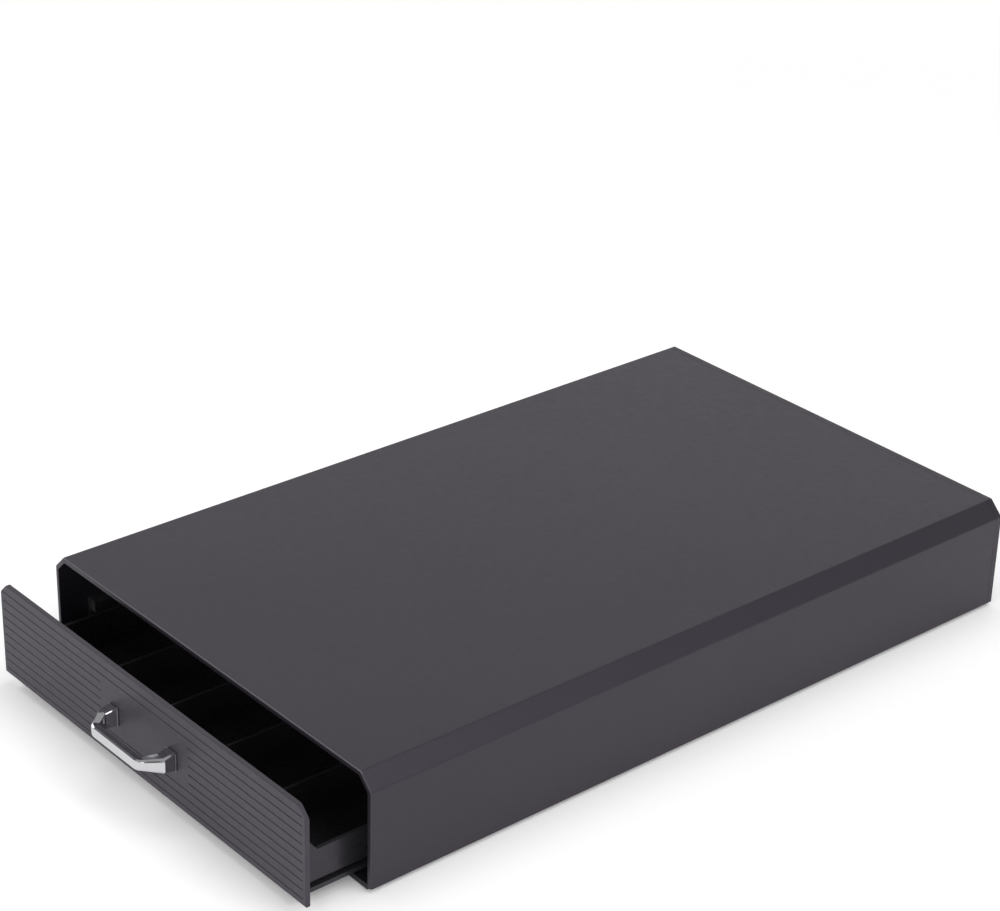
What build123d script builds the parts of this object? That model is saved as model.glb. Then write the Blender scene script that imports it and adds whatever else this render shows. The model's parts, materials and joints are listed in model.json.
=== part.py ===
"""Low pull-out drawer in a folded housing, for five lanes of coffee capsules.

The housing is an inverted U of folded sheet with a 45 degree fold along both top edges, closed by a
base plate and a rear cap. A shallow tray runs on two side rails and carries an inset, grooved front
with a cast bow handle. All sizes are millimetres. X is across, +Y runs from the front to the rear,
+Z is up. The origin is on the floor, under the middle of the whole part as the photograph shows it,
with the drawer pulled out by drawer_open. Left and right are those of someone facing the front.
"""
from build123d import *
import os
from math import atan2, cos, hypot, sin, sqrt, tan

os.makedirs("parts", exist_ok=True)

# ------------------------------------------------------------------ driving sizes
# Housing
housing_width = 220.0
housing_depth = 357.0
housing_height = 50.2       # lower edge of the side walls to the top face
sheet = 2.2
bevel = 6.6                 # leg of the 45 degree fold along each top edge
fold_radius = 1.2           # outside radius of each fold
edge_radius = 0.8           # rounding of the sheet's outer edge at the mouth
base_thickness = 2.4
base_drop = 1.0             # how far the base plate stands below the side walls
base_fit = 0.15             # base plate to side wall, each side
cap_thickness = 3.5
cap_seam = 0.1              # fine joint between the sheet and the rear cap
cap_rim = 0.3               # chamfer round the rear cap's outer edge
skirt_depth = 8.0           # skirt of the rear cap inside the sheet
skirt_thickness = 2.0
skirt_fit = 0.15

# Rubber feet and closing buffers
foot_width = 16.0           # side of a square pad
foot_thickness = 0.9
foot_rim = 0.3              # chamfer round the sole of a foot
foot_corner = 2.0           # cut corners of a foot
foot_inset_x = 20.0         # centre of a foot from the side of the housing
foot_inset_y = 22.0         # centre of a foot from the front or the rear
buffer_width = 8.0          # side of a square buffer
buffer_thickness = 3.0
buffer_rim = 0.75           # chamfer round the face of a buffer
buffer_offset = 62.0        # centre of a buffer from the middle plane
closed_gap = 0.3            # tray to buffer with the drawer shut

# Guide rails, one extruded section
rail_space = 8.3            # side of the tray to the inner face of the housing's side wall
rail_leaf = 1.5             # thickness of the leg on the wall, the foot and the tongue
rail_setback = 14.0         # front end of a rail behind the housing's front edge
tongue_play = 0.3           # tongue to the tray's groove, above and below
tongue_end_play = 0.4       # tip of the tongue to the bottom of the groove
flange_play = 1.2           # foot of the rail to the tray's lower flange
lug_headroom = 1.8          # passing lug to the underside of the screw port
port_size = 5.5             # square screw port along the top of the rail
port_bore = 1.25
port_depth = 12.0
cap_screw_bite = 9.0        # length of a rear cap screw in its port

# Lanes and tray
lane_count = 5              # the outer lanes take what the tray's side walls leave
pod_rim = 37.0              # widest diameter of the capsules that stand in a lane
lane_play = 0.5
divider_thickness = 1.2
divider_drop = 1.0          # top of a divider below the top of the side walls
divider_slot = 0.8          # depth of the slots that hold its ends
divider_fit = 0.1
tray_floor = 2.0
tray_wall = 1.8
tray_lift = 1.5             # running gap between the tray and the base plate
groove_skin = 1.5
groove_depth = 1.85
flange_lip = 0.8            # lower flange beyond the side wall
side_wall_height = 17.7     # tray's underside to the top of its side walls
front_wall_height = 27.4    # tray's underside to the top of its front wall
gusset_run = 9.1

# Open stop: a lug at each rear corner of the tray meets a block on the rail
lug_length = 6.0
lug_reach = 5.0
lug_height = 6.0
lug_rise = 4.0              # underside of a lug above the top of the groove
stop_length = 8.0
stop_distance = 48.0        # front of a stop block behind the housing's front edge
stop_play = 0.8             # stop block to the passing side wall of the tray
stop_gap = 0.2              # lug to block with the drawer fully out

# Front panel
panel_thickness = 2.0
panel_side_gap = 0.5
panel_top_gap = 1.15        # panel to the underside of the sheet
panel_base_gap = 1.75       # panel to the base plate
panel_bevel = 4.6
panel_corner_radius = 2.0
panel_rim = 0.3             # chamfer round the front face
drawer_open = 28.5          # front face of the panel ahead of the housing, as photographed
groove_count = 10
groove_first = 2.9          # lowest groove above the lower edge of the panel
groove_last = 4.08          # highest groove below the upper edge
groove_lip = 0.3            # sharp lower lip to the bottom of a groove, in height
groove_cut = 0.45           # depth of a groove
ease_height = 0.7           # top of the eased upper lip above the bottom of the groove
ease_cut = 0.06             # depth of the easing where it meets the groove
groove_margin = 1.9         # end of a groove from the side edge of the panel
plain_half_width = 31.0     # smooth field round the handle
plain_first = 3             # the fourth to the eighth groove from below stop at the field
plain_last = 7

# Bow handle, a faceted casting
handle_drop = 0.4           # centre of the handle below the centre of the panel
handle_projection = 14.5
foot_outer = 23.6           # plan sizes, from the middle plane
foot_inner = 17.7
knee_outer = 23.9
knee_inner = 18.1
knee_forward = 5.9
corner_outer = 16.4         # where the outer lines of leg and grip would meet
bend_radius = 5.0           # outer radius of the bend between leg and grip
bend_steps = 3              # facets round a bend
grip_depth = 3.6
foot_half_height = 4.45
knee_half_height = 3.5
grip_half_height = 2.5
foot_ease = 0.6             # height of the two facets that ease the long outer edges
knee_ease = 1.4
grip_ease = 0.9
ease_break = 0.5            # height of the upper facet, as a share of the ease
ease_nip = 0.2              # depth of the lower facet, as a share of the ease
ease_run = 0.9              # depth of both facets, as a share of the ease
bow_bevel = 0.35            # plain bevel along the inner edges
heel_thickness = 0.85       # thin step on the sides of a foot where it meets the panel
heel_lip = 0.2
heel_half_height = 4.3

# Fasteners: shank radius, head radius, head height
m4_shank, m4_head, m4_head_height = 1.95, 3.6, 2.4
m3_shank, m3_head, m3_head_height = 1.45, 2.75, 1.6
shank_clearance = 0.25
thread_fit = 0.05
socket_share = 0.5          # drive socket: radius and depth as a share of the head
base_screw_count = 2        # on each rail
stud_clearance = 0.2
stud_inset = 16.0           # weld stud from the side of the outer lane
nut_radius = 3.2
nut_thickness = 2.4
stud_overrun = 0.6          # stud beyond its nut
handle_thread = 4.6         # depth of the threaded hole in a handle foot

# ------------------------------------------------------------------ derived places
overall_length = handle_projection + drawer_open + housing_depth
front = -overall_length / 2 + handle_projection + drawer_open
rear = front + housing_depth
half_width = housing_width / 2
wall_x = half_width - sheet                       # inner face of a side wall
base_under = foot_thickness
base_top = base_under + base_thickness
wall_low = base_under + base_drop                 # lower edge of the side walls
top = wall_low + housing_height
ceiling = top - sheet
inner_bevel = bevel - sheet * (2 - sqrt(2))       # keeps the folded sheet one thickness
cap_face = rear - cap_thickness                   # inner face of the rear cap

panel_front = front - drawer_open
panel_back = panel_front + panel_thickness
panel_half = wall_x - panel_side_gap
panel_low = base_top + panel_base_gap
panel_top = ceiling - panel_top_gap
handle_z = (panel_low + panel_top) / 2 - handle_drop

groove_pitch = (panel_top - panel_low - groove_first - groove_last) / (groove_count - 1)

tray_half = wall_x - rail_space
lanes_half = tray_half - groove_depth - groove_skin
lane_pitch = pod_rim + lane_play + divider_thickness
tray_under = base_top + tray_lift
floor_top = tray_under + tray_floor
groove_top = floor_top + rail_leaf + 2 * tongue_play
side_top = tray_under + side_wall_height
front_wall_top = tray_under + front_wall_height
tray_front = panel_back
tray_rear = cap_face - buffer_thickness - closed_gap - drawer_open
divider_top = side_top - divider_drop

tongue_tip = tray_half - groove_depth + tongue_end_play
leaf_x = wall_x - rail_leaf                       # inner face of a rail's leg
stop_inner = tray_half + stop_play
lug_low = groove_top + lug_rise
lug_x = tray_half + lug_reach
port_low = lug_low + lug_height + lug_headroom
rail_top = port_low + port_size
rail_front = front + rail_setback
rail_foot = rail_space - flange_lip - flange_play  # width of the foot on the base plate
rail_screw_x = wall_x - (rail_leaf + rail_foot) / 2
port_x = wall_x - port_size / 2
port_z = port_low + port_size / 2
stop_back = front + stop_distance + stop_length
open_travel = tray_rear - lug_length - stop_back - stop_gap


# ------------------------------------------------------------------ shape helpers
STANDING = (Align.CENTER, Align.CENTER, Align.MIN)


def block(x, y, z):
    """Box between the given pairs of x, y and z."""
    centre = Pos((x[0] + x[1]) / 2, (y[0] + y[1]) / 2, (z[0] + z[1]) / 2)
    return centre * Box(abs(x[1] - x[0]), abs(y[1] - y[0]), abs(z[1] - z[0]))


def prism(points, y0, y1):
    """Straight bar from y0 to y1 whose section is the closed outline of (x, z) points."""
    outline = Polyline(*[(x, y0, z) for x, z in points], close=True)
    return extrude(make_face(outline), amount=y1 - y0, dir=(0, 1, 0))


def rod(x, y, z, radius, length, along="Z"):
    """Cylinder that starts at a point and runs the given length along +X, +Y or +Z."""
    turn = {"X": (0, 90, 0), "Y": (-90, 0, 0), "Z": (0, 0, 0)}[along]
    return Pos(x, y, z) * Rot(*turn) * Cylinder(radius, length, align=STANDING)


def arch_points(half, low, high, leg):
    """Inverted U outline with a 45 degree corner of the given leg on both sides."""
    shoulder = high - leg
    brow = half - leg
    return [(-half, low), (-half, shoulder), (-brow, high), (brow, high), (half, shoulder), (half, low)]


def long_edges(solid, keep):
    """Edges parallel to Y whose centre passes the test."""
    return [edge for edge in solid.edges().filter_by(Axis.Y) if keep(edge.center())]


def arch_bar(half, low, high, leg, radius, y0, y1):
    """Bar of the arch section with its four upper corners rounded."""
    bar = prism(arch_points(half, low, high, leg), y0, y1)
    shoulder = high - leg - radius
    return fillet(long_edges(bar, lambda c: c.Z > shoulder), radius)


def mirrored(solid):
    """The same piece on the other side of the middle plane."""
    return mirror(solid, about=Plane.YZ)


def lane_walls():
    """X of each divider, from left to right."""
    return [(n - lane_count / 2) * lane_pitch for n in range(1, lane_count)]


# ------------------------------------------------------------------ fasteners
def flat_screw(shank, length):
    """Countersunk screw along +Z with the flat face of its head at the origin."""
    head = m3_head - thread_fit
    screw = rod(0, 0, 0, shank, length) + Cone(head, shank, m3_head_height, align=STANDING)
    socket = extrude(RegularPolygon(head * socket_share, 6), amount=m3_head_height * socket_share)
    return screw - socket


def flat_hole(shank, length):
    """Cutter for a countersunk hole along +Z from the origin."""
    return rod(0, 0, 0, shank, length) + Cone(m3_head, shank, m3_head_height, align=STANDING)


def cheese_screw(length):
    """Cheese head screw along -Y with the seat of its head at the origin."""
    screw = rod(0, -length, 0, m4_shank, length, "Y") + rod(0, 0, 0, m4_head, m4_head_height, "Y")
    depth = m4_head_height * socket_share
    socket = extrude(Plane.XZ * RegularPolygon(m4_head * socket_share, 6), amount=-depth)
    return screw - Pos(0, m4_head_height - depth, 0) * socket


def base_screw_places():
    """Places of the screws that hold the base plate to the rails, heads down."""
    run = cap_face - rail_front
    steps = [rail_front + run * (n + 0.5) / base_screw_count for n in range(base_screw_count)]
    return [Pos(side * rail_screw_x, y, base_under) for side in (-1, 1) for y in steps]


def cap_screw_places():
    """Places of the screws that hold the rear cap to the ports of the rails, heads at the rear."""
    return [Pos(side * port_x, rear, port_z) * Rot(90, 0, 0) for side in (-1, 1)]


def stop_screw_place():
    """Place of the screw in the right-hand stop block, head towards the tray."""
    return Pos(stop_inner, front + stop_distance + stop_length / 2, lug_low + lug_height / 2) * Rot(0, 90, 0)


# ------------------------------------------------------------------ housing
def make_housing_shell():
    """Folded sheet: top, two side walls and the 45 degree folds between them."""
    back = cap_face - cap_seam
    outer = arch_bar(half_width, wall_low, top, bevel, fold_radius, front, back)
    inner = prism(arch_points(wall_x, wall_low, ceiling, inner_bevel), front, back)
    shell = outer - inner
    mouth = shell.faces().sort_by(Axis.Y)[0]
    outside = [edge for edge in mouth.edges() if not_inside_mouth(edge.center())]
    return fillet(outside, edge_radius)


def not_inside_mouth(point):
    """True on the outer outline of the sheet's front end, False on its inner outline and feet."""
    if point.Z < wall_low + sheet / 2:
        return False
    to_top = top - point.Z
    to_side = half_width - abs(point.X)
    to_bevel = (to_top + to_side - bevel) / sqrt(2)
    return min(to_top, to_side, to_bevel) < sheet / 2


def make_base_plate():
    """Flat plate between the side walls, countersunk from below for the rail screws."""
    half = wall_x - base_fit
    plate = block((-half, half), (front, cap_face - cap_seam), (base_under, base_top))
    for place in base_screw_places():
        plate -= place * flat_hole(m3_shank + thread_fit, base_thickness)
    return plate


def make_rear_cap():
    """Plate with the housing's outline and a skirt that enters the sheet above the rails."""
    plate = arch_bar(half_width, wall_low, top, bevel, fold_radius, cap_face, rear)
    rim = [edge for edge in plate.faces().sort_by(Axis.Y)[-1].edges() if edge.center().Z > wall_low + 1]
    plate = chamfer(rim, cap_rim)
    fit = skirt_fit * sqrt(2)
    skirt_front = cap_face - skirt_depth
    skirt_low = rail_top + skirt_thickness
    half = wall_x - skirt_fit
    high = ceiling - skirt_fit
    leg = inner_bevel + fit - skirt_fit
    outer = prism(arch_points(half, skirt_low, high, leg), skirt_front, cap_face)
    core_leg = leg - skirt_thickness * (2 - sqrt(2))
    core = arch_points(half - skirt_thickness, skirt_low, high - skirt_thickness, core_leg)
    cap = plate + (outer - prism(core, skirt_front, cap_face))
    for place in cap_screw_places():
        cap -= place * flat_hole(port_bore + thread_fit, cap_thickness)
    return cap


def make_guide_rail():
    """Right-hand rail: leg on the wall, foot on the base plate, tongue and screw port."""
    low = floor_top + tongue_play
    rail = block((leaf_x, wall_x), (rail_front, cap_face), (base_top, rail_top))
    rail += block((wall_x - rail_foot, wall_x), (rail_front, cap_face), (base_top, base_top + rail_leaf))
    rail += block((tongue_tip, wall_x), (rail_front, cap_face), (low, low + rail_leaf))
    rail += block((wall_x - port_size, wall_x), (rail_front, cap_face), (port_low, rail_top))
    rail -= rod(port_x, cap_face - port_depth, port_z, port_bore, port_depth, "Y")
    for place in base_screw_places():
        rail -= place * rod(0, 0, 0, m3_shank + thread_fit, base_thickness + rail_leaf)
    return rail - stop_screw_place() * rod(0, 0, 0, m3_shank + thread_fit, wall_x - stop_inner)


def make_stop_block():
    """Right-hand block on the rail's leg that catches the lug of the tray."""
    length = (front + stop_distance, stop_back)
    piece = block((stop_inner, leaf_x), length, (lug_low, lug_low + lug_height))
    piece = chamfer(piece.edges().filter_by(Axis.Z).group_by(Axis.X)[0], stop_play)
    return piece - stop_screw_place() * flat_hole(m3_shank + thread_fit, leaf_x - stop_inner)


def make_foot(x, y):
    """Square rubber pad with cut corners, bonded under the base plate."""
    pad = Pos(x, y, 0) * Box(foot_width, foot_width, foot_thickness, align=STANDING)
    pad = chamfer(pad.edges().filter_by(Axis.Z), foot_corner)
    return chamfer(pad.faces().sort_by(Axis.Z)[0].edges(), foot_rim)


def make_buffer(side):
    """Square rubber buffer on the inside of the rear cap."""
    x = side * buffer_offset
    middle_z = (tray_under + side_top) / 2
    half = buffer_width / 2
    length = (cap_face - buffer_thickness, cap_face)
    pad = block((x - half, x + half), length, (middle_z - half, middle_z + half))
    return chamfer(pad.faces().sort_by(Axis.Y)[0].edges(), buffer_rim)


# ------------------------------------------------------------------ drawer
def make_tray():
    """Moulded tray: floor and flange, grooved side walls, gusseted front wall, rear wall and lugs."""
    half = tray_half
    length = (tray_front, tray_rear)
    tray = block((-half - flange_lip, half + flange_lip), length, (tray_under, floor_top))
    side = block((half - tray_wall, half), length, (groove_top, side_top))
    side += block((lanes_half, half - groove_depth), length, (floor_top, groove_top + groove_skin))
    side += block((lanes_half, half), length, (groove_top, groove_top + groove_skin))
    side += make_gusset(half)
    lug = (tray_rear - lug_length, tray_rear)
    side += block((half - tray_wall, lug_x), lug, (lug_low, lug_low + lug_height))
    tray += side
    tray += mirrored(side)
    front_wall = (tray_front, tray_front + tray_wall)
    rear_wall = (tray_rear - tray_wall, tray_rear)
    for wall, high in ((front_wall, front_wall_top), (rear_wall, side_top)):
        tray += block((-lanes_half, lanes_half), wall, (floor_top, high))
        tray += block((-half + tray_wall, half - tray_wall), wall, (groove_top, high))
    slot_front = (tray_front + tray_wall - divider_slot, tray_front + tray_wall)
    slot_rear = (tray_rear - tray_wall, tray_rear - tray_wall + divider_slot)
    for x in lane_walls():
        slot = (x - divider_thickness / 2 - divider_fit, x + divider_thickness / 2 + divider_fit)
        tray -= block(slot, slot_front, (floor_top, divider_top))
        tray -= block(slot, slot_rear, (floor_top, divider_top))
    for x in handle_screw_places():
        tray -= rod(x, tray_front, handle_z, m4_shank + shank_clearance, tray_wall, "Y")
    for x in stud_places():
        tray -= rod(x, tray_front, handle_z, m3_shank + stud_clearance, tray_wall, "Y")
    return tray


def make_gusset(half):
    """Front end of a side wall, rising in a slope to the height of the front wall."""
    run = [(tray_front, side_top - tray_wall), (tray_front, front_wall_top),
           (tray_front + tray_wall, front_wall_top), (tray_front + gusset_run, side_top),
           (tray_front + gusset_run, side_top - tray_wall)]
    outline = Polyline(*[(half - tray_wall, y, z) for y, z in run], close=True)
    return extrude(make_face(outline), amount=tray_wall, dir=(1, 0, 0))


def stud_places():
    """X of the weld studs, left and right."""
    return [side * (lanes_half - stud_inset) for side in (-1, 1)]


def handle_screw_places():
    """X of the two handle screws, at the middle of each foot."""
    return [side * (foot_outer + foot_inner) / 2 for side in (-1, 1)]


def make_front_panel():
    """Inset front with horizontal grooves and a smooth field for the handle."""
    panel = prism(arch_points(panel_half, panel_low, panel_top, panel_bevel), panel_front, panel_back)
    upper = long_edges(panel, lambda c: c.Z > panel_top - panel_bevel - 1)
    panel = fillet(upper, panel_corner_radius)
    face_edges = panel.faces().sort_by(Axis.Y)[0].edges()
    panel = chamfer(face_edges, panel_rim)
    for n in range(groove_count):
        z = panel_low + groove_first + n * groove_pitch
        reach = panel_half - groove_margin
        if plain_first <= n <= plain_last:
            for side in (-1, 1):
                panel -= groove_bar(side * plain_half_width, side * reach, z)
        else:
            panel -= groove_bar(-reach, reach, z)
    stud_length = tray_wall + nut_thickness + stud_overrun
    for x in stud_places():
        panel += rod(x, panel_back, handle_z, m3_shank, stud_length, "Y")
    for x in handle_screw_places():
        panel -= rod(x, panel_front, handle_z, m4_shank + shank_clearance, panel_thickness, "Y")
    return panel


def groove_bar(x0, x1, z):
    """Cutter for one groove: a V whose upper lip is eased by a shallow slope."""
    section = [(0, z - groove_lip), (groove_cut, z), (ease_cut, z + groove_lip), (0, z + ease_height)]
    outline = Polyline(*[(x0, panel_front + cut, height) for cut, height in section], close=True)
    return extrude(make_face(outline), amount=x1 - x0, dir=(1, 0, 0))


def make_panel_nuts():
    """Hexagon nuts on the panel's studs, inside the tray's front wall."""
    nuts = []
    for x in stud_places():
        plane = Plane(origin=(x, tray_front + tray_wall, handle_z), x_dir=(1, 0, 0), z_dir=(0, 1, 0))
        nut = extrude(plane * RegularPolygon(nut_radius, 6), amount=nut_thickness)
        bore = rod(x, tray_front + tray_wall, handle_z, m3_shank + thread_fit, nut_thickness, "Y")
        nuts.append(nut - bore)
    return nuts


def bow_section(inner, outer, half_height, ease):
    """Ten-sided upright section on the plan line between two (x, forward) points."""
    (xi, di), (xo, do) = inner, outer
    span = hypot(xo - xi, do - di)
    ring = [(span, half_height - ease), (span - ease * ease_nip, half_height - ease * ease_break),
            (span - ease * ease_run, half_height), (bow_bevel, half_height), (0, half_height - bow_bevel)]
    ring += [(s, -h) for s, h in reversed(ring)]
    points = []
    for s, h in ring:
        x = xi + (xo - xi) * s / span
        forward = di + (do - di) * s / span
        points.append((x, panel_front - forward, handle_z + h))
    return make_face(Polyline(*points, close=True))


def make_handle():
    """Bow: feet that taper to a sharp knee, slanted legs, bends and a straight grip."""
    turn = atan2(handle_projection - knee_forward, knee_outer - corner_outer)
    bend_x = corner_outer - bend_radius * tan(turn / 2)
    bend_forward = handle_projection - bend_radius
    radii = (bend_radius - grip_depth, bend_radius)
    bends = []
    for step in range(bend_steps, -1, -1):
        angle = turn * step / bend_steps
        ends = [(bend_x + r * sin(angle), bend_forward + r * cos(angle)) for r in radii]
        bends.append(bow_section(*ends, grip_half_height, grip_ease))
    foot = bow_section((foot_inner, 0), (foot_outer, 0), foot_half_height, foot_ease)
    knee = bow_section((knee_inner, knee_forward), (knee_outer, knee_forward), knee_half_height, knee_ease)
    right = [foot, knee] + bends
    left = [mirror(section, about=Plane.YZ) for section in reversed(right)]
    bow = loft(right + left, ruled=True)
    heel = bow_section((foot_inner - heel_lip, 0), (foot_outer + heel_lip, 0), heel_half_height, foot_ease)
    heel = extrude(heel, amount=heel_thickness, dir=(0, -1, 0))
    bow += [heel, mirrored(heel)]
    for x in handle_screw_places():
        bow -= rod(x, panel_front - handle_thread, handle_z, m4_shank + thread_fit, handle_thread, "Y")
    return bow


def make_divider(x):
    """Straight strip that stands on the tray's floor between two lanes."""
    y0 = tray_front + tray_wall - divider_slot + divider_fit
    y1 = tray_rear - tray_wall + divider_slot - divider_fit
    half = divider_thickness / 2
    strip = block((x - half, x + half), (y0, y1), (floor_top, divider_top))
    return fillet(strip.edges().filter_by(Axis.Y).group_by(Axis.Z)[-1], divider_thickness * 0.4)


# ------------------------------------------------------------------ assembly
def make_parts():
    """Every node of the part, by name."""
    rail = make_guide_rail()
    stop_block = make_stop_block()
    stop_screw = stop_screw_place() * flat_screw(m3_shank, wall_x - stop_inner - thread_fit)
    base_screw = flat_screw(m3_shank, base_thickness + rail_leaf)
    cap_screw = flat_screw(port_bore - thread_fit, cap_thickness + cap_screw_bite)
    handle_screw = cheese_screw(tray_wall + panel_thickness + handle_thread - thread_fit)
    seat = tray_front + tray_wall
    parts = {
        "housing_shell": make_housing_shell(),
        "base_plate": make_base_plate(),
        "rear_cap": make_rear_cap(),
        "guide_rail_right": rail,
        "guide_rail_left": mirrored(rail),
        "base_screws": [place * base_screw for place in base_screw_places()],
        "rear_cap_screws": [place * cap_screw for place in cap_screw_places()],
        "stop_block_right": stop_block,
        "stop_block_left": mirrored(stop_block),
        "stop_screws": [stop_screw, mirrored(stop_screw)],
        "buffer_left": make_buffer(-1),
        "buffer_right": make_buffer(1),
        "drawer_tray": make_tray(),
        "front_panel": make_front_panel(),
        "panel_nuts": make_panel_nuts(),
        "handle": make_handle(),
        "handle_screws": [Pos(x, seat, handle_z) * handle_screw for x in handle_screw_places()],
    }
    foot_x = half_width - foot_inset_x
    for end, y in (("front", front + foot_inset_y), ("rear", rear - foot_inset_y)):
        parts[f"foot_{end}_left"] = make_foot(-foot_x, y)
        parts[f"foot_{end}_right"] = make_foot(foot_x, y)
    for number, x in enumerate(lane_walls(), start=1):
        parts[f"lane_divider_{number}"] = make_divider(x)
    return parts


for name, shape in make_parts().items():
    solid = Compound(children=shape) if isinstance(shape, list) else shape
    export_step(solid, f"parts/{name}.step")

print("travel out from the pose shown:", round(open_travel, 2), "mm; travel in:", drawer_open, "mm")
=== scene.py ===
"""Looks of the coffee pod drawer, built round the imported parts: finishes, floor, light and camera.

Lengths are metres in the part's own frame: X across, +Y from the front to the rear, +Z up, with the
origin on the floor under the middle of the part. Patterns lie in that frame at their real size.
"""
import json
import math

import bpy
from mathutils import Matrix, Vector


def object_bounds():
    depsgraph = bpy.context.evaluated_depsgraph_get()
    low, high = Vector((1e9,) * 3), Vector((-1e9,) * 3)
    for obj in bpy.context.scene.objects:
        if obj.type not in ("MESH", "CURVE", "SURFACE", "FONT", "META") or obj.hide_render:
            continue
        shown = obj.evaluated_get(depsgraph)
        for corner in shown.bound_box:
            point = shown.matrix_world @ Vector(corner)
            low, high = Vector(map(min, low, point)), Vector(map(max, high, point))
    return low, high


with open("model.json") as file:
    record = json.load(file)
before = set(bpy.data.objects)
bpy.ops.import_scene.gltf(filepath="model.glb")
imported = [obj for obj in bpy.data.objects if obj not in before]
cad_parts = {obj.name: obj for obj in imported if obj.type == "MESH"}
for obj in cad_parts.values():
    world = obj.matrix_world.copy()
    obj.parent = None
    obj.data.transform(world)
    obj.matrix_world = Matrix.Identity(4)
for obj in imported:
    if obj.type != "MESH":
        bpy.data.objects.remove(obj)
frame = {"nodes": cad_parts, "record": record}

cad_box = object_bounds()
MM = 0.001

# ------------------------------------------------------------------ colours, as linear RGB
CHARCOAL = (0.0210, 0.0182, 0.0235)     # body of the coat; most of what shows is its sheen
CHARCOAL_FRONT = (0.0375, 0.0333, 0.0412)
CHARCOAL_BASE = (0.0075, 0.0070, 0.0080)
CHARCOAL_CAP = (0.0225, 0.0198, 0.0250)
TRAY_GREY = (0.0235, 0.0225, 0.0250)
COAT_SHEEN = (0.91, 0.81, 1.0)          # tint of the light that coat and plastic mirror
DIVIDER_BLACK = (0.032, 0.031, 0.034)
NYLON_BLACK = (0.018, 0.018, 0.019)
RUBBER_BLACK = (0.020, 0.020, 0.020)
ALUMINIUM = (0.46, 0.46, 0.47)
ZINC = (0.52, 0.53, 0.55)
CHROME = (0.57, 0.57, 0.59)
RIM_HIGHLIGHT_GREY = (0.092, 0.089, 0.096)        # painted highlight along the rim of the mouth: a lighter grey standing in for light on the edge
FLOOR_WHITE = (0.96, 0.96, 0.96)
SKY_WHITE = (1.0, 1.0, 1.0)

# ------------------------------------------------------------------ places where painted highlight and painted shade change the colour
RIM_MIDDLE = -156.72 * MM               # the housing begins at -157
RIM_WIDTH = 0.50 * MM
RIM_FADE = (0.35, 0.50)                 # it fades between these shares of its width from its middle
RIM_HEIGHTS = (50.5 * MM, 51.9 * MM)    # the painted highlight line is full on the top and faint down the sides
RIM_FAINT = 0.2                         # share of the painted highlight that is left down the sides
HEEL_PLACE = -186.40 * MM               # where the step on the handle's feet begins
HEEL_SHADE_SHARE = 0.60                        # share of the chrome's colour left on that step: painted shade where the foot meets the panel
HAIR = 0.05 * MM                        # half the width of a sharp change of colour
NOISE_SPAN = (0.3, 0.7)                 # most of a noise pattern lies between these

# ------------------------------------------------------------------ the photograph's view
VIEW_AZIMUTH = math.radians(49.17)      # from straight in front towards the right-hand side
VIEW_ELEVATION = math.radians(26.78)
VIEW_ROLL = math.radians(1.50)
VIEW_DISTANCE = 1.2934
VIEW_TARGET = Vector((-0.1045, 0.0871, 0.025))
LENS = 96.74                            # millimetres on the sensor below
SENSOR = 36.0
CLIP_NEAR = 0.05
CLIP_FAR = 50.0

# ------------------------------------------------------------------ light
SKY_STRENGTH = 0.52                     # on matt surfaces
SKY_MIRRORED_LOW = 0.95                 # in mirroring surfaces, low down
SKY_MIRRORED_HIGH = 0.45                # in mirroring surfaces, from halfway up
SKY_CHANGE = (0.45, 0.70)               # from low to high between these sines of the elevation
SKY_SHADES = (                          # direction, outer and inner cosine, share of light left:
    ((0.757, -0.654, 0.0), 0.80, 0.95, 0.15),    # darker places low at the front right,
    ((0.42, 0.78, 0.47), 0.84, 0.99, 0.45),      # at the rear right,
    ((-0.675, -0.45, 0.584), 0.92, 0.98, 0.30),  # and high at the front left
)
LAMPS = (                               # name, place, side, light on a white surface that faces it
    ("overhead", (-0.2, 0.1, 2.2), 1.4, 0.24),
    ("front", (0.6, -1.4, 0.6), 0.7, 0.28),
    ("left", (-1.60, -0.40, 0.80), 0.8, 0.12),
    ("right", (1.30, 0.40, 1.50), 1.1, 0.24),
)

# ------------------------------------------------------------------ floor
FLOOR_GLOW = 0.14                       # lifts the floor to the white of the backdrop
FLOOR_SHINE = 0.1                       # how much light it mirrors, where 0.5 is plain plastic
FLOOR_SIZE = 12.0
FLOOR_LEVEL = -0.1 * MM                 # just under the feet, so that no two faces share a plane
FLOOR_FADE = (0.50, 1.00)               # distances between which the floor fades into the backdrop


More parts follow.
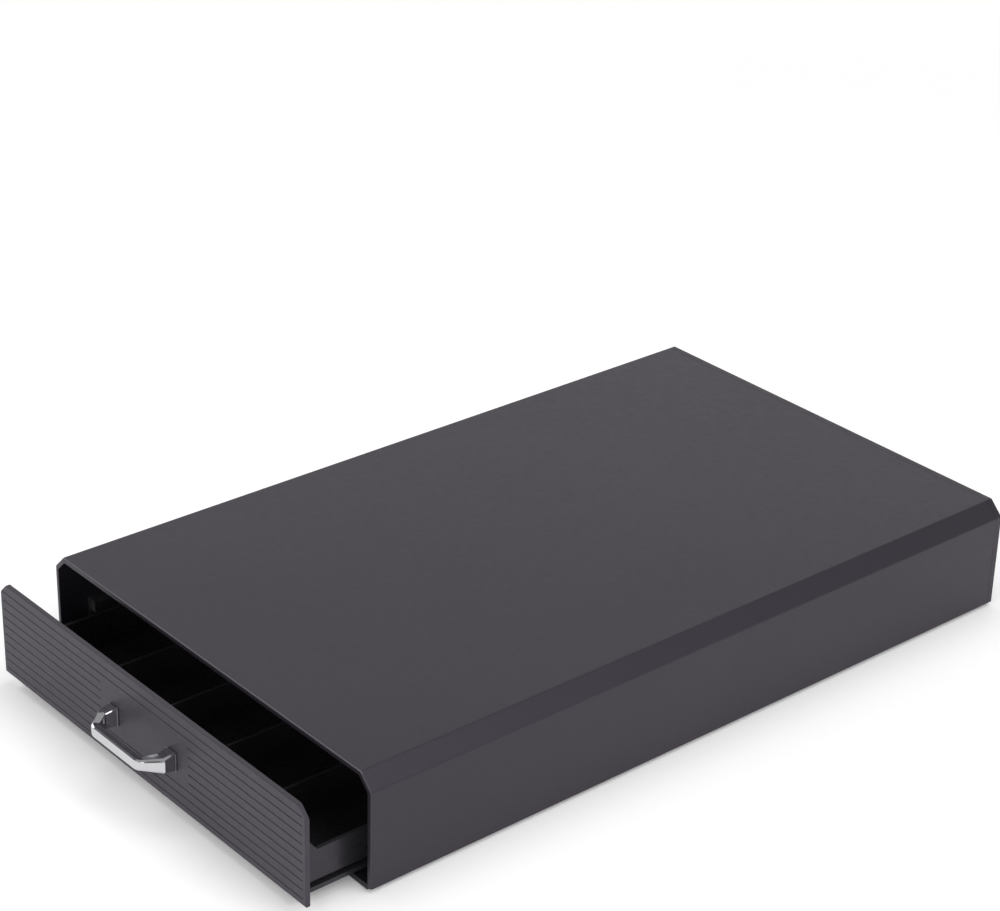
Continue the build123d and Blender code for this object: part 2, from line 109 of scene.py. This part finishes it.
class Nodes:
    """Short calls for making and linking the nodes of one material or world."""

    def __init__(self, tree):
        self.tree = tree

    def new(self, kind, **settings):
        """A new shader node of the given kind, with its settings."""
        node = self.tree.nodes.new("ShaderNode" + kind)
        for name, value in settings.items():
            setattr(node, name, value)
        return node

    def feed(self, socket, value):
        """Links another node's output to the socket, or sets the socket to a plain value."""
        if isinstance(value, bpy.types.NodeSocket):
            self.tree.links.new(value, socket)
        else:
            socket.default_value = value

    def feed_in_turn(self, node, values):
        """Feeds the values to the node's inputs, from the first one on."""
        for socket, value in zip(node.inputs, values):
            self.feed(socket, value)

    def maths(self, operation, *numbers):
        """The result of an operation on numbers."""
        node = self.new("Math", operation=operation)
        self.feed_in_turn(node, numbers)
        return node.outputs["Value"]

    def measure(self, operation, *vectors):
        """The number that an operation on vectors gives."""
        node = self.new("VectorMath", operation=operation)
        self.feed_in_turn(node, vectors)
        return node.outputs["Value"]

    def split(self, vector):
        """The outputs X, Y and Z of a vector."""
        node = self.new("SeparateXYZ")
        self.feed(node.inputs["Vector"], vector)
        return node.outputs

    def spread(self, value, start, end, first, last, shape="LINEAR"):
        """Maps the range from start to end to the range from first to last."""
        node = self.new("MapRange", interpolation_type=shape)
        limits = {"From Min": start, "From Max": end, "To Min": first, "To Max": last}
        for name, limit in limits.items():
            node.inputs[name].default_value = limit
        self.feed(node.inputs["Value"], value)
        return node.outputs["Result"]

    def ramp(self, value, start, end, first, last):
        """Smooth step of a value between start and end, from first to last."""
        return self.spread(value, start, end, first, last, shape="SMOOTHSTEP")

    def mix(self, share, first, second, kind="FLOAT"):
        """The first value where share is 0, and the second where it is 1."""
        node = self.new("Mix", data_type=kind)
        for name, value in (("Factor", share), ("A", first), ("B", second)):
            self.feed(node.inputs[name], value)
        return node.outputs["Result"]

    def mix_shaders(self, share, first, second):
        """The first shader where share is 0, and the second where it is 1."""
        node = self.new("MixShader")
        self.feed_in_turn(node, (share, first, second))
        return node.outputs["Shader"]


class Finish(Nodes):
    """A node-based material, built up step by step round one shader."""

    def __init__(self, name, colour, roughness, metallic=0.0):
        self.material = bpy.data.materials.new(name)
        self.material.use_nodes = True
        super().__init__(self.material.node_tree)
        self.shader = self.tree.nodes["Principled BSDF"]
        self.sockets = self.shader.inputs
        self.sockets["Base Color"].default_value = (*colour, 1.0)
        self.sockets["Roughness"].default_value = roughness
        self.sockets["Metallic"].default_value = metallic
        self.place = self.new("TexCoord").outputs["Object"]
        self.normal = None

    def sheen(self, tint, level):
        """Tints the light that the coat mirrors and sets how much of it there is."""
        self.sockets["Specular Tint"].default_value = (*tint, 1.0)
        self.sockets["Specular IOR Level"].default_value = level
        return self

    def noise(self, size, stretch=(1.0, 1.0, 1.0), detail=2.0):
        """Cloudy pattern from 0 to 1, its grains about size across and drawn out by stretch."""
        mapping = self.new("Mapping")
        mapping.inputs["Scale"].default_value = [1.0 / (size * s) for s in stretch]
        pattern = self.new("TexNoise")
        pattern.inputs["Scale"].default_value = 1.0
        pattern.inputs["Detail"].default_value = detail
        self.feed(mapping.inputs["Vector"], self.place)
        self.feed(pattern.inputs["Vector"], mapping.outputs["Vector"])
        return pattern.outputs["Fac"]

    def vary_colour(self, pattern, share):
        """Lightens and darkens the plain base colour by the given share."""
        socket = self.sockets["Base Color"]
        plain = tuple(socket.default_value)[:3]
        darker = (*[c * (1 - share) for c in plain], 1.0)
        lighter = (*[c * (1 + share) for c in plain], 1.0)
        shade = self.spread(pattern, *NOISE_SPAN, 0.0, 1.0)
        self.feed(socket, self.mix(shade, darker, lighter, kind="RGBA"))
        return self

    def varied_colour(self):
        """The output that feeds the base colour, once vary_colour has been called."""
        return self.sockets["Base Color"].links[0].from_socket

    def darken_behind(self, place, share):
        """Leaves the given share of the varied colour behind the given Y, with a sharp change."""
        across = self.split(self.place)["Y"]
        scaled = self.new("VectorMath", operation="SCALE")
        self.feed(scaled.inputs["Vector"], self.varied_colour())
        self.feed(scaled.inputs["Scale"], self.ramp(across, place - HAIR, place + HAIR, 1.0, share))
        self.feed(self.sockets["Base Color"], scaled.outputs["Vector"])
        return self

    def thin_band(self, middle, width, heights, colour):
        """Shifts the varied colour to the given one in a narrow band of Y, as a painted highlight.

        Below the first height the band is faint, and above the second it is full.
        """
        spot = self.split(self.place)
        away = self.maths("ABSOLUTE", self.maths("SUBTRACT", spot["Y"], middle))
        inner, outer = [width * share for share in RIM_FADE]
        band = self.ramp(away, inner, outer, 1.0, 0.0)
        high = self.ramp(spot["Z"], *heights, RIM_FAINT, 1.0)
        share = self.maths("MULTIPLY", band, high)
        # painted highlight: the colour shifts to a lighter grey inside the band
        highlighted = self.mix(share, self.varied_colour(), (*colour, 1.0), kind="RGBA")
        self.feed(self.sockets["Base Color"], highlighted)
        return self

    def vary_roughness(self, pattern, amount):
        """Moves the roughness up and down by the given amount."""
        socket = self.sockets["Roughness"]
        plain = socket.default_value
        self.feed(socket, self.spread(pattern, *NOISE_SPAN, plain - amount, plain + amount))
        return self

    def relief(self, pattern, height):
        """Raises the surface by up to the given height, on top of any relief that is there."""
        bump = self.new("Bump")
        bump.inputs["Strength"].default_value = 1.0
        bump.inputs["Distance"].default_value = height
        self.feed(bump.inputs["Height"], pattern)
        if self.normal is not None:
            self.feed(bump.inputs["Normal"], self.normal)
        self.normal = bump.outputs["Normal"]
        self.feed(self.sockets["Normal"], self.normal)
        return self


# ------------------------------------------------------------------ finishes
def powder_coat(name, colour, roughness, level=0.41):
    """Satin powder coat on sheet: slow clouds, a shallow orange peel and a fine grain."""
    finish = Finish(name, colour, roughness).sheen(COAT_SHEEN, level)
    finish.vary_colour(finish.noise(60 * MM, detail=3.0), share=0.05)
    finish.vary_roughness(finish.noise(3 * MM), amount=0.03)
    finish.relief(finish.noise(2.2 * MM), height=0.004 * MM)
    finish.relief(finish.noise(0.35 * MM, detail=3.0), height=0.003 * MM)
    return finish


def housing_coat(name):
    """The powder coat of the housing, with a painted highlight line along the rim of its mouth."""
    finish = powder_coat(name, CHARCOAL, roughness=0.40)
    return finish.thin_band(RIM_MIDDLE, RIM_WIDTH, RIM_HEIGHTS, RIM_HIGHLIGHT_GREY)


def grained_plastic(name, colour, roughness, grain=0.5 * MM):
    """Moulded plastic with the fine spark-eroded grain of its tool."""
    finish = Finish(name, colour, roughness).sheen(COAT_SHEEN, level=0.38)
    finish.vary_colour(finish.noise(35 * MM), share=0.06)
    finish.vary_roughness(finish.noise(6 * MM), amount=0.05)
    finish.relief(finish.noise(grain, detail=3.0), height=0.012 * MM)
    return finish


def drawn_aluminium(name):
    """Extruded aluminium with die lines along its length."""
    finish = Finish(name, ALUMINIUM, roughness=0.38, metallic=1.0)
    lines = finish.noise(0.6 * MM, stretch=(1.0, 150.0, 1.0), detail=3.0)
    finish.vary_colour(lines, share=0.08)
    finish.vary_roughness(lines, amount=0.08)
    finish.relief(lines, height=0.004 * MM)
    return finish


def zinc_plate(name):
    """Passivated zinc on small steel parts, faintly mottled."""
    finish = Finish(name, ZINC, roughness=0.30, metallic=1.0)
    mottle = finish.noise(1.5 * MM)
    finish.vary_colour(mottle, share=0.10)
    finish.vary_roughness(mottle, amount=0.06)
    finish.relief(finish.noise(0.25 * MM), height=0.002 * MM)
    return finish


def polished_chrome(name):
    """Bright chrome on a polished casting: smears, slow waves, and painted shade on the step where
    it meets the panel.
    """
    finish = Finish(name, CHROME, roughness=0.09, metallic=1.0)
    finish.vary_roughness(finish.noise(5 * MM, detail=4.0), amount=0.03)
    finish.vary_colour(finish.noise(8 * MM), share=0.02)
    # painted shade: the chrome is darker on the step of the feet next to the panel
    finish.darken_behind(HEEL_PLACE, HEEL_SHADE_SHARE)
    finish.relief(finish.noise(3 * MM), height=0.006 * MM)
    return finish


def matt_rubber(name):
    """Moulded rubber, dusty along its grain."""
    finish = Finish(name, RUBBER_BLACK, roughness=0.75)
    finish.vary_colour(finish.noise(2 * MM, detail=4.0), share=0.25)
    finish.vary_roughness(finish.noise(4 * MM), amount=0.08)
    finish.relief(finish.noise(0.4 * MM), height=0.015 * MM)
    return finish


def dress_nodes():
    """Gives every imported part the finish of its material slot."""
    finishes = {
        "housing_paint": housing_coat("housing_paint"),
        "panel_paint": powder_coat("panel_paint", CHARCOAL_FRONT, roughness=0.46, level=0.36),
        "base_paint": powder_coat("base_paint", CHARCOAL_BASE, roughness=0.50),
        "cap_plastic": grained_plastic("cap_plastic", CHARCOAL_CAP, roughness=0.40, grain=0.3 * MM),
        "tray_plastic": grained_plastic("tray_plastic", TRAY_GREY, roughness=0.28),
        "divider_plastic": grained_plastic("divider_plastic", DIVIDER_BLACK, roughness=0.40),
        "stop_nylon": grained_plastic("stop_nylon", NYLON_BLACK, roughness=0.50),
        "rail_aluminium": drawn_aluminium("rail_aluminium"),
        "screw_steel": zinc_plate("screw_steel"),
        "handle_chrome": polished_chrome("handle_chrome"),
        "rubber": matt_rubber("rubber"),
    }
    for part in frame["record"]["subparts"]:
        mesh = frame["nodes"][part["node"]].data
        mesh.materials.clear()
        mesh.materials.append(finishes[part["material_slot"]].material)


# ------------------------------------------------------------------ studio
def floor_paper():
    """Pale matt paper that fades into the white backdrop and shows only from above."""
    finish = Finish("floor_paper", FLOOR_WHITE, roughness=0.9)
    finish.sockets["Specular IOR Level"].default_value = FLOOR_SHINE
    finish.sockets["Emission Color"].default_value = (*SKY_WHITE, 1.0)
    finish.sockets["Emission Strength"].default_value = FLOOR_GLOW
    finish.vary_colour(finish.noise(400 * MM), share=0.01)
    far = finish.ramp(finish.measure("LENGTH", finish.place), *FLOOR_FADE, 0.0, 1.0)
    far_seen = finish.maths("MULTIPLY", far, finish.new("LightPath").outputs["Is Camera Ray"])
    backdrop = finish.new("Emission")
    backdrop.inputs["Color"].default_value = (*SKY_WHITE, 1.0)
    paper = finish.shader.outputs["BSDF"]
    faded = finish.mix_shaders(far_seen, paper, backdrop.outputs["Emission"])
    below = finish.new("NewGeometry").outputs["Backfacing"]
    clear = finish.new("BsdfTransparent").outputs["BSDF"]
    surface = finish.mix_shaders(below, faded, clear)
    finish.feed(finish.tree.nodes["Material Output"].inputs["Surface"], surface)
    return finish


def make_floor():
    """The floor under the part, which is no piece of the object."""
    half = FLOOR_SIZE / 2
    square = ((-half, -half), (half, -half), (half, half), (-half, half))
    mesh = bpy.data.meshes.new("floor")
    mesh.from_pydata([(x, y, FLOOR_LEVEL) for x, y in square], [], [(0, 1, 2, 3)])
    mesh.materials.append(floor_paper().material)
    floor = bpy.data.objects.new("floor", mesh)
    bpy.context.scene.collection.objects.link(floor)


def make_sky():
    """White backdrop for the camera, even light on matt surfaces, a shaded studio in mirrors."""
    world = bpy.data.worlds.new("studio")
    world.use_nodes = True
    sky = Nodes(world.node_tree)
    way = sky.new("TexCoord").outputs["Generated"]
    mirrored = sky.ramp(sky.split(way)["Z"], *SKY_CHANGE, SKY_MIRRORED_LOW, SKY_MIRRORED_HIGH)
    for direction, outer, inner, share in SKY_SHADES:
        nearness = sky.measure("DOT_PRODUCT", way, Vector(direction).normalized())
        mirrored = sky.maths("MULTIPLY", mirrored, sky.ramp(nearness, outer, inner, 1.0, share))
    path = sky.new("LightPath").outputs
    unseen = sky.mix(path["Is Glossy Ray"], SKY_STRENGTH, mirrored)
    background = world.node_tree.nodes["Background"]
    background.inputs["Color"].default_value = (*SKY_WHITE, 1.0)
    sky.feed(background.inputs["Strength"], sky.mix(path["Is Camera Ray"], unseen, 1.0))
    bpy.context.scene.world = world


def make_lamps():
    """Square soft lamps above and on three sides, turned to the middle of the part."""
    middle = (cad_box[0] + cad_box[1]) / 2
    for name, place, side, level in LAMPS:
        away = Vector(place) - middle
        lamp = bpy.data.lights.new(name, "AREA")
        lamp.shape = "RECTANGLE"
        lamp.size = lamp.size_y = side
        lamp.energy = level * math.pi ** 2 * away.length_squared
        holder = bpy.data.objects.new(name, lamp)
        holder.location = place
        holder.rotation_mode = "QUATERNION"
        holder.rotation_quaternion = away.to_track_quat("Z", "Y")
        bpy.context.scene.collection.objects.link(holder)


def make_camera():
    """The photograph's camera: its axes from azimuth, elevation and roll about the target."""
    azimuth, elevation, roll = VIEW_AZIMUTH, VIEW_ELEVATION, VIEW_ROLL
    back = Vector((math.sin(azimuth) * math.cos(elevation),
                   -math.cos(azimuth) * math.cos(elevation),
                   math.sin(elevation)))
    level = Vector((math.cos(azimuth), math.sin(azimuth), 0.0))
    upright = back.cross(level)
    right = math.cos(roll) * level + math.sin(roll) * upright
    up = math.cos(roll) * upright - math.sin(roll) * level
    camera = bpy.data.cameras.new("camera")
    camera.sensor_width = SENSOR
    camera.lens = LENS
    camera.clip_start = CLIP_NEAR
    camera.clip_end = CLIP_FAR
    holder = bpy.data.objects.new("camera", camera)
    axes = Matrix((right, up, back)).transposed().to_4x4()
    holder.matrix_world = Matrix.Translation(VIEW_TARGET + VIEW_DISTANCE * back) @ axes
    bpy.context.scene.collection.objects.link(holder)
    bpy.context.scene.camera = holder


dress_nodes()
make_floor()
make_sky()
make_lamps()
make_camera()
bpy.context.scene.view_settings.view_transform = "Standard"
